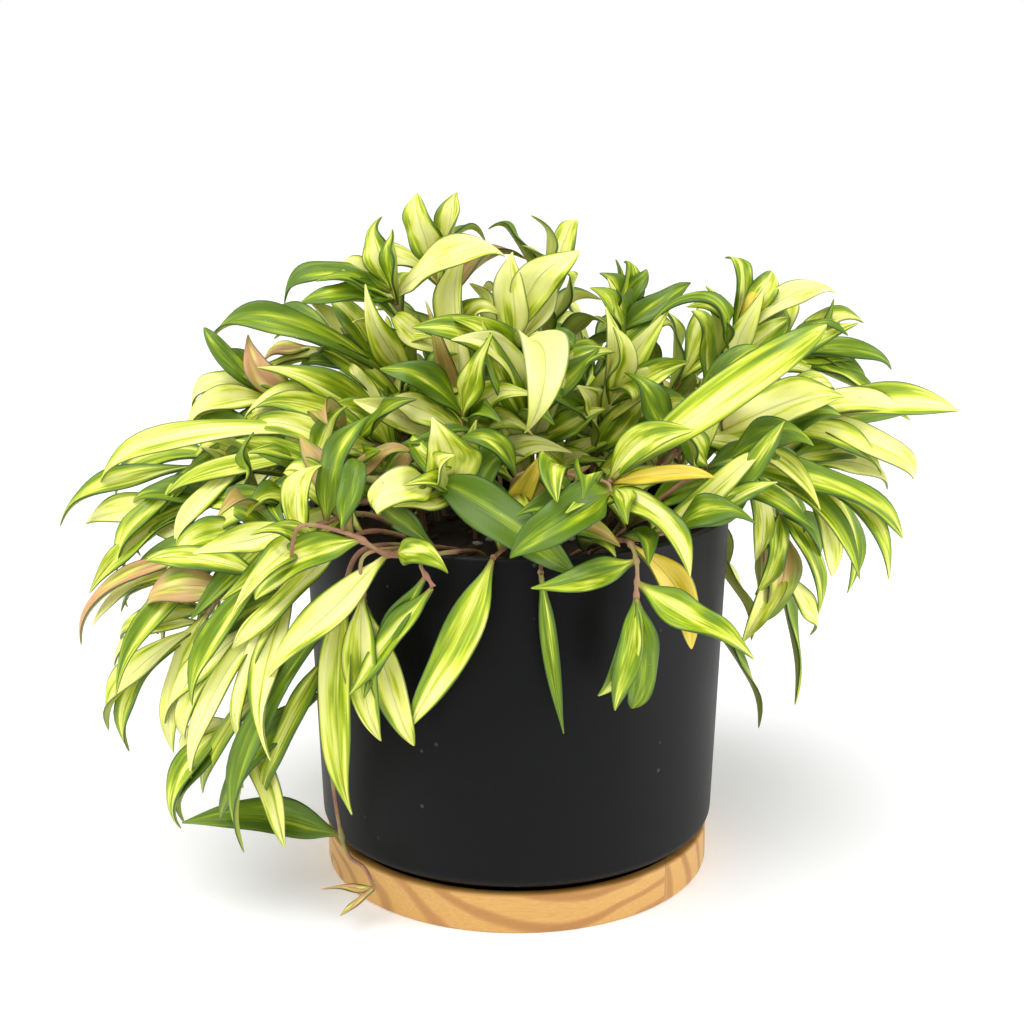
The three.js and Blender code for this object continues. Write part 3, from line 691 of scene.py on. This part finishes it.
# Upper left vines: cuttings that arch over the left side of the rim, the highest ones first.
# Each row is a vine's name, its root, its route, its pairs of leaves with their length and width,
# and its longest leaves: where each grows along the vine, its tip, its width, its arch, its finish.
left_vines = [
    ("top_left_back", (-0.025, 0.03),
     [(-0.045, 0.02, 0.225), (-0.055, 0.015, 0.265), (-0.06, 0.015, 0.28)],
     2, 0.06, 0.014, [
         (0.97, (-0.115, 0.005, 0.28), 0.015, 0.15, "green"),
         (0.9, (-0.1, -0.005, 0.28), 0.016, 0.03, "green"),
         (1, (-0.07, 0.02, 0.315), 0.014, 0.03, "mixed"),
         (0.93, (-0.005, -0.005, 0.305), 0.017, 0.15, "cream"),
         (0.55, (-0.07, -0.02, 0.28), 0.015, 0.02, "cream"),
     ]),
    ("top_left", (-0.015, 0.01),
     [(-0.03, 0.005, 0.24), (-0.035, 0.01, 0.275), (-0.04, 0.015, 0.29)],
     2, 0.06, 0.014, [
         (1, (-0.05, 0.01, 0.325), 0.02, 0.02, "pale"),
         (0.95, (-0.015, 0.03, 0.31), 0.008, 0.2, "green"),
         (0.45, (-0.03, 0, 0.3), 0.02, 0.02, "cream"),
         (0.4, (-0.04, -0.03, 0.275), 0.012, -0.08, "blush"),
     ]),
    ("left_arch", (-0.04, 0.02),
     [(-0.05, 0.01, 0.22), (-0.07, 0.015, 0.245), (-0.095, 0.025, 0.25)],
     3, 0.06, 0.014, [
         (0.66, (-0.15, 0.01, 0.26), 0.017, 0.2, "green"),
         (0.9, (-0.12, 0.03, 0.26), 0.01, 0.05, "pale"),
         (1, (-0.125, 0.02, 0.25), 0.01, 0.05, "tan"),
     ]),
    ("left_high", (-0.045, 0),
     [(-0.055, 0, 0.21), (-0.09, 0, 0.225), (-0.12, 0.005, 0.23)],
     2, 0.065, 0.014, [
         (0.85, (-0.13, 0.005, 0.26), 0.014, 0.02, "tan"),
         (1, (-0.15, 0.005, 0.265), 0.01, 0.1, "green"),
         (0.55, (-0.13, -0.02, 0.23), 0.017, 0.12, "cream"),
         (0.5, (-0.12, -0.015, 0.25), 0.017, 0.03, "mixed"),
         (1, (-0.16, 0, 0.23), 0.013, 0.1, "cream"),
         (0.97, (-0.16, -0.01, 0.22), 0.016, 0.1, "pale"),
     ]),
    ("left_long", (-0.045, -0.01),
     [(-0.055, -0.02, 0.205), (-0.085, -0.025, 0.215), (-0.12, -0.02, 0.21), (-0.15, -0.015, 0.2)],
     4, 0.075, 0.014, [
         (0.5, (-0.205, -0.02, 0.195), 0.014, 0.15, "cream"),
         (0.45, (-0.17, -0.035, 0.19), 0.013, 0.15, "mixed"),
         (1, (-0.225, -0.015, 0.175), 0.012, 0.06, "mixed"),
         (0.75, (-0.16, -0.05, 0.17), 0.013, 0.15, "cream"),
         (0.3, (-0.105, -0.04, 0.22), 0.012, 0.08, "cream"),
     ]),
    ("left_mid", (-0.05, -0.02),
     [(-0.06, -0.035, 0.2), (-0.095, -0.04, 0.2), (-0.13, -0.035, 0.19), (-0.155, -0.03, 0.18)],
     4, 0.075, 0.014, [
         (1, (-0.185, -0.025, 0.16), 0.009, 0.15, "green"),
         (0.45, (-0.145, -0.055, 0.175), 0.014, 0.18, "mixed"),
         (0.95, (-0.18, -0.03, 0.175), 0.013, 0.03, "pale"),
         (0.85, (-0.19, -0.035, 0.155), 0.01, 0.1, "mixed"),
     ]),
    ("left_low", (-0.05, -0.03),
     [(-0.06, -0.05, 0.19), (-0.09, -0.06, 0.19), (-0.12, -0.06, 0.175), (-0.145, -0.05, 0.165)],
     4, 0.075, 0.014, [
         (1, (-0.21, -0.04, 0.12), 0.009, 0.2, "tan"),
         (0.75, (-0.16, -0.06, 0.165), 0.016, 0.05, "mixed"),
         (1, (-0.19, -0.04, 0.14), 0.009, 0.1, "pale"),
     ]),
]
for vine in left_vines:
    grow_vine(vine_number, *vine)
    vine_number += 1


# Falling vines: older cuttings on the left that hang down the pot's side as far as the saucer,
# and a bare knobbly one that lies over the rim and carries young leaves at its joints.
falling_vines = [
    ("left_fall_front", (-0.045, -0.04),
     [(-0.065, -0.07, 0.19), (-0.085, -0.09, 0.19), (-0.105, -0.09, 0.17),
      (-0.13, -0.08, 0.155), (-0.145, -0.07, 0.135)],
     3, 0.07, 0.013, [
         (0.8, (-0.17, -0.075, 0.15), 0.018, 0.05, "blush"),
         (0.97, (-0.195, -0.06, 0.085), 0.012, 0.12, "cream"),
         (1, (-0.185, -0.065, 0.075), 0.012, 0.12, "mixed"),
         (0.95, (-0.19, -0.055, 0.115), 0.01, 0.1, "cream"),
         (0.9, (-0.19, -0.05, 0.125), 0.01, 0.1, "pale"),
         (0.4, (-0.125, -0.105, 0.165), 0.015, -0.12, "mixed"),
     ]),
    ("left_fall_back", (-0.04, -0.045),
     [(-0.065, -0.08, 0.185), (-0.09, -0.09, 0.17), (-0.11, -0.09, 0.14),
      (-0.125, -0.08, 0.1), (-0.125, -0.08, 0.065)],
     2, 0.055, 0.013, [
         (0.6, (-0.165, -0.07, 0.09), 0.013, 0.1, "pale"),
         (0.65, (-0.155, -0.08, 0.085), 0.012, 0.1, "pale"),
         (0.6, (-0.15, -0.09, 0.07), 0.013, 0.12, "cream"),
         (0.85, (-0.16, -0.08, 0.04), 0.012, 0.15, "mixed"),
         (0.85, (-0.16, -0.075, 0.045), 0.012, 0.12, "green"),
         (0.55, (-0.125, -0.105, 0.095), 0.009, 0.1, "cream"),
         (0.4, (-0.125, -0.105, 0.14), 0.013, 0.05, "cream"),
     ]),
    ("left_trail", (-0.035, -0.05),
     [(-0.065, -0.09, 0.18), (-0.075, -0.1, 0.16), (-0.085, -0.09, 0.115), (-0.085, -0.07, 0.065),
      (-0.08, -0.07, 0.03), (-0.07, -0.08, 0.025), (-0.065, -0.09, 0.02)],
     0, 0.055, 0.013, [
         (0.72, (-0.155, -0.07, 0.045), 0.019, -0.05, "green"),
         (0.35, (-0.075, -0.105, 0.06), 0.017, 0.03, "mixed"),
         (0.4, (-0.13, -0.1, 0.04), 0.011, 0.12, "green"),
         (0.45, (-0.12, -0.085, 0.055), 0.012, 0.1, "mixed"),
         (0.4, (-0.15, -0.075, 0.06), 0.014, 0.1, "mixed"),
         (0.5, (-0.14, -0.075, 0.045), 0.015, 0.1, "green"),
     ]),
    ("knobbly_vine", (-0.025, -0.05),
     [(-0.04, -0.09, 0.18), (-0.055, -0.1, 0.18), (-0.07, -0.105, 0.19),
      (-0.09, -0.11, 0.195), (-0.095, -0.11, 0.18)],
     0, 0.06, 0.013, [
         (0.45, (-0.03, -0.115, 0.18), 0.014, 0.1, "mixed"),
         (0.5, (-0.11, -0.115, 0.13), 0.016, 0.06, "pale"),
         (0.62, (-0.115, -0.11, 0.165), 0.018, 0.05, "mixed"),
     ]),
]
for vine in falling_vines:
    grow_vine(vine_number, *vine)
    vine_number += 1


# Front and centre vines: short cuttings that lean on the front of the rim and let their leaves
# hang against the pot, and three behind them that fill the middle.
front_vines = [
    ("front_left", (-0.015, -0.055),
     [(-0.025, -0.095, 0.18), (-0.04, -0.11, 0.18), (-0.035, -0.115, 0.17)],
     0, 0.06, 0.013, [
         (1, (-0.07, -0.12, 0.125), 0.012, -0.12, "mixed"),
         (0.9, (-0.065, -0.12, 0.125), 0.011, -0.15, "green"),
     ]),
    ("front_left_hanging", (-0.03, -0.045),
     [(-0.05, -0.09, 0.18), (-0.065, -0.105, 0.18), (-0.065, -0.105, 0.16)],
     0, 0.06, 0.013, [
         (0.95, (-0.06, -0.11, 0.095), 0.016, 0.03, "pale"),
         (1, (-0.045, -0.11, 0.095), 0.015, -0.02, "pale"),
     ]),
    ("front_middle", (-0.01, -0.06),
     [(-0.005, -0.09, 0.18), (-0.01, -0.105, 0.18)],
     0, 0.06, 0.013, [
         (1, (-0.05, -0.115, 0.105), 0.018, 0.04, "mixed"),
     ]),
    ("front_centre", (0.008, -0.055),
     [(0.01, -0.1, 0.175), (0.01, -0.11, 0.175)],
     0, 0.06, 0.013, [
         (1, (0.02, -0.115, 0.105), 0.008, -0.1, "green"),
     ]),
    ("front_right", (0.025, -0.055),
     [(0.045, -0.095, 0.185), (0.05, -0.11, 0.18), (0.05, -0.115, 0.165)],
     0, 0.06, 0.013, [
         (0.75, (0.01, -0.13, 0.175), 0.014, -0.18, "mixed"),
         (1, (0.035, -0.115, 0.12), 0.011, 0, "mixed"),
         (0.97, (0.04, -0.12, 0.115), 0.012, 0.03, "mixed"),
         (1, (0.05, -0.11, 0.11), 0.015, 0.04, "green"),
         (0.9, (0.1, -0.12, 0.145), 0.017, -0.1, "mixed"),
         (0.6, (0.075, -0.11, 0.14), 0.015, 0.02, "yellow"),
     ]),
    ("centre_front", (-0.005, -0.035),
     [(-0.025, -0.07, 0.195), (-0.04, -0.08, 0.21)],
     1, 0.055, 0.014, [
         (1, (0.025, -0.115, 0.175), 0.022, 0.05, "dark"),
         (0.8, (-0.035, -0.09, 0.235), 0.025, 0.02, "pale"),
         (0.9, (-0.065, -0.105, 0.2), 0.02, 0.3, "cream"),
     ]),
    ("centre", (0.005, -0.03),
     [(0, -0.06, 0.205), (0.035, -0.09, 0.21), (0.04, -0.095, 0.205)],
     0, 0.055, 0.014, [
         (0.95, (-0.005, -0.12, 0.185), 0.022, 0.12, "green"),
         (0.45, (0.01, -0.11, 0.185), 0.011, -0.05, "cream"),
         (0.3, (0.01, -0.08, 0.215), 0.012, 0.1, "yellow"),
     ]),
    ("centre_right", (0.02, -0.035),
     [(0.03, -0.075, 0.195), (0.04, -0.085, 0.205), (0.04, -0.09, 0.21)],
     1, 0.06, 0.014, [
         (1, (0.145, -0.045, 0.275), 0.019, 0.13, "mixed"),
         (0.9, (0.085, -0.1, 0.215), 0.009, 0.1, "yellow"),
         (0.8, (0.045, -0.11, 0.2), 0.012, -0.1, "mixed"),
     ]),
]
for vine in front_vines:
    grow_vine(vine_number, *vine)
    vine_number += 1


# Right vines: cuttings that reach out over the right side, where the longest leaves stand out
# level, and one that hangs down beside the pot.
right_vines = [
    ("right_low", (0.035, -0.045),
     [(0.055, -0.09, 0.185), (0.075, -0.09, 0.19), (0.08, -0.09, 0.195)],
     0, 0.06, 0.014, [
         (0.5, (0.105, -0.085, 0.225), 0.012, 0, "pale"),
         (1, (0.115, -0.08, 0.235), 0.011, 0, "green"),
     ]),
    ("right_front", (0.045, -0.02),
     [(0.075, -0.045, 0.215), (0.1, -0.04, 0.22), (0.125, -0.03, 0.225)],
     2, 0.075, 0.014, [
         (0.85, (0.21, -0.02, 0.23), 0.017, 0.04, "cream"),
         (0.8, (0.185, -0.03, 0.23), 0.015, 0.06, "pale"),
         (0.6, (0.145, -0.05, 0.245), 0.024, 0.02, "pale"),
         (1, (0.195, -0.02, 0.195), 0.018, 0.12, "cream"),
         (1, (0.19, 0, 0.225), 0.008, -0.1, "green"),
     ]),
    ("right_side", (0.045, -0.03),
     [(0.08, -0.055, 0.205), (0.105, -0.05, 0.21), (0.13, -0.04, 0.205)],
     3, 0.07, 0.014, [
         (0.6, (0.18, -0.05, 0.175), 0.017, 0.1, "mixed"),
         (1, (0.18, -0.02, 0.19), 0.013, 0.1, "cream"),
         (1, (0.15, -0.04, 0.15), 0.014, 0.15, "pale"),
         (0.97, (0.16, -0.03, 0.14), 0.012, 0.18, "mixed"),
     ]),
    ("right_hanging", (0.05, -0.01),
     [(0.095, -0.025, 0.2), (0.12, -0.01, 0.19), (0.13, -0.01, 0.16), (0.13, -0.01, 0.135)],
     3, 0.05, 0.013, [
         (0.5, (0.115, -0.025, 0.155), 0.014, 0.05, "pale"),
         (0.75, (0.115, -0.02, 0.12), 0.017, 0.05, "blush"),
         (0.7, (0.15, -0.005, 0.15), 0.013, 0.1, "green"),
         (1, (0.13, -0.01, 0.13), 0.005, 0, "tan"),
     ]),
    ("right_top", (0.04, 0.01),
     [(0.085, 0, 0.23), (0.1, 0.01, 0.25), (0.11, 0.015, 0.265)],
     2, 0.065, 0.013, [
         (0.75, (0.055, -0.02, 0.27), 0.009, 0.5, "green"),
         (0.9, (0.115, 0.015, 0.28), 0.011, 0.25, "yellow"),
         (1, (0.125, 0.02, 0.29), 0.014, 0.02, "mixed"),
         (1, (0.13, 0.025, 0.28), 0.012, 0.03, "green"),
         (0.6, (0.105, -0.03, 0.23), 0.014, 0.2, "cream"),
         (0.45, (0.16, -0.01, 0.27), 0.013, 0.05, "mixed"),
         (0.4, (0.08, -0.06, 0.21), 0.018, 0.25, "green"),
     ]),
    ("right_mid", (0.045, 0.01),
     [(0.1, 0.005, 0.23), (0.12, 0.01, 0.245), (0.14, 0.015, 0.25)],
     3, 0.065, 0.013, [
         (0.8, (0.185, 0.01, 0.245), 0.012, 0.12, "green"),
         (0.9, (0.175, 0.015, 0.235), 0.012, 0.15, "green"),
         (0.85, (0.16, 0.02, 0.265), 0.012, 0.1, "green"),
         (0.9, (0.15, 0.03, 0.265), 0.007, 0.08, "tan"),
         (1, (0.155, 0.02, 0.275), 0.005, -0.1, "green"),
     ]),
]
for vine in right_vines:
    grow_vine(vine_number, *vine)
    vine_number += 1


# Top vines: the last upright cuttings in the middle, whose leaves stand above the others.
top_vines = [
    ("top_middle", (0, 0.005),
     [(0.005, -0.01, 0.23), (0, -0.005, 0.25), (0, 0, 0.26)],
     2, 0.06, 0.014, [
         (0.9, (-0.005, 0, 0.3), 0.02, 0.03, "cream"),
         (1, (0.03, -0.005, 0.3), 0.02, 0.04, "cream"),
         (0.8, (0.03, -0.04, 0.26), 0.014, 0.35, "green"),
         (0.85, (0.005, -0.08, 0.225), 0.022, 0.4, "cream"),
         (0.7, (-0.045, -0.035, 0.27), 0.018, 0.08, "mixed"),
     ]),
    ("top_back", (0.01, 0.025),
     [(0.015, 0.025, 0.24), (0.015, 0.03, 0.28)],
     3, 0.06, 0.013, [
         (0.95, (-0.01, 0.025, 0.315), 0.012, 0.15, "green"),
         (1, (0.015, 0.035, 0.315), 0.014, 0.02, "cream"),
         (0.8, (0.025, 0.01, 0.29), 0.011, 0.25, "mixed"),
     ]),
    ("top_right", (0.02, 0.015),
     [(0.04, 0.01, 0.235), (0.05, 0.015, 0.265)],
     3, 0.06, 0.013, [
         (1, (0.045, 0.015, 0.29), 0.02, 0.03, "green"),
         (1, (0.05, 0.02, 0.295), 0.005, 0, "green"),
         (0.9, (0.04, -0.005, 0.285), 0.013, 0.12, "mixed"),
         (0.35, (0.07, -0.03, 0.275), 0.022, 0.08, "cream"),
         (1, (0.065, 0.02, 0.29), 0.01, 0.05, "green"),
         (0.6, (0.055, -0.04, 0.235), 0.014, 0.3, "mixed"),
     ]),
]
for vine in top_vines:
    grow_vine(vine_number, *vine)
    vine_number += 1


# Back vines: eight plain cuttings spread round the back of the pot. Each one climbs over the rim
# and hangs down outside it.
back_vines = [
    # bearing in degrees, how far out it reaches, how low its tip hangs
    (22, 0.135, 0.135),
    (42, 0.12, 0.085),
    (61, 0.135, 0.125),
    (80, 0.12, 0.075),
    (99, 0.135, 0.115),
    (118, 0.12, 0.08),
    (138, 0.135, 0.11),
    (160, 0.13, 0.09),
]
back_root = 0.05
before_rim = (0.075, 0.2)
over_rim = (0.108, 0.205)
bulge = 0.015
tip_out = 0.005
for back, (bearing, reach, low) in enumerate(back_vines):
    way = Vector((math.cos(math.radians(bearing)), math.sin(math.radians(bearing))))
    halfway = (over_rim[1] + low) / 2 + bulge
    route = [(*(way * before_rim[0]), before_rim[1]), (*(way * over_rim[0]), over_rim[1]),
             (*(way * reach), halfway), (*(way * (reach + tip_out)), low)]
    grow_vine(vine_number, f"back_vine_{back + 1}", way * back_root, route, 6, 0.065, 0.014, [])
    vine_number += 1


# Middle vines: eight more plain cuttings, which stand up in the middle behind the others and
# lean outwards under their leaves.
middle_vines = [
    # root, then the top of the stem
    ((-0.055, 0.045), (-0.075, 0.06, 0.24)),
    ((-0.03, 0.06), (-0.04, 0.08, 0.245)),
    ((0, 0.055), (0, 0.075, 0.25)),
    ((0.028, 0.062), (0.04, 0.084, 0.243)),
    ((0.06, 0.035), (0.085, 0.05, 0.235)),
    ((-0.02, -0.015), (-0.025, -0.03, 0.23)),
    ((0.005, -0.015), (0.005, -0.025, 0.235)),
    ((0.03, -0.01), (0.045, -0.02, 0.235)),
]
rise = 0.008
for middle, (root, top) in enumerate(middle_vines):
    height = (soil_middle + top[2]) / 2 + rise
    halfway = ((root[0] + top[0]) / 2, (root[1] + top[1]) / 2, height)
    grow_vine(vine_number, f"middle_vine_{middle + 1}", root, [halfway, top], 4, 0.07, 0.015, [])
    vine_number += 1


# Stage and light: a wide white floor, an even white surround, and one broad soft light
# from the upper left in front, as in a light tent.
floor_paint, shader, shade = new_material("white_floor", Roughness=0.6, Specular_IOR_Level=0.2,
                                         Emission_Color=(1, 1, 1, 1), Emission_Strength=0.16)
tint = shade.noise(object_place(shade), 3, detail=1)
feed(shader, Base_Color=tint.mix((0.9, 0.9, 0.9), (0.91, 0.91, 0.91)))
bm = bmesh.new()
bmesh.ops.create_grid(bm, x_segments=2, y_segments=2, size=8)
mesh = bpy.data.meshes.new("floor")
bm.to_mesh(mesh)
bm.free()
mesh.materials.append(floor_paint)
floor = bpy.data.objects.new("floor", mesh)
bpy.context.collection.objects.link(floor)

world = bpy.data.worlds.new("light_tent")
bpy.context.scene.world = world
world.use_nodes = True
tent = Shade(world.node_tree)
seen = tent.node("ShaderNodeLightPath")
feed(world.node_tree.nodes["Background"], Strength=0.5 + seen * 0.5)
world.node_tree.nodes["Background"].inputs["Color"].default_value = (1, 1, 1, 1)
bpy.context.scene.view_settings.view_transform = "Standard"

sun_data = bpy.data.lights.new("broad_light", "SUN")
sun_data.energy = 2.2
sun_data.angle = math.radians(50)
sun = bpy.data.objects.new("broad_light", sun_data)
sun.rotation_euler = (math.radians(22), math.radians(-16), 0)
bpy.context.collection.objects.link(sun)

# Two upright strips of light, whose reflections are the soft sheens down the pot's sides.
for side, power in ((1, 9.0), (-1, 5.0)):
    strip_data = bpy.data.lights.new("strip_light", "AREA")
    strip_data.shape = "RECTANGLE"
    strip_data.size = 0.25
    strip_data.size_y = 1.2
    strip_data.energy = power
    strip = bpy.data.objects.new("strip_light", strip_data)
    strip.location = (side * 1.1, -0.35, 0.45)
    strip.rotation_euler = (math.radians(90), 0, side * math.radians(72))
    bpy.context.collection.objects.link(strip)
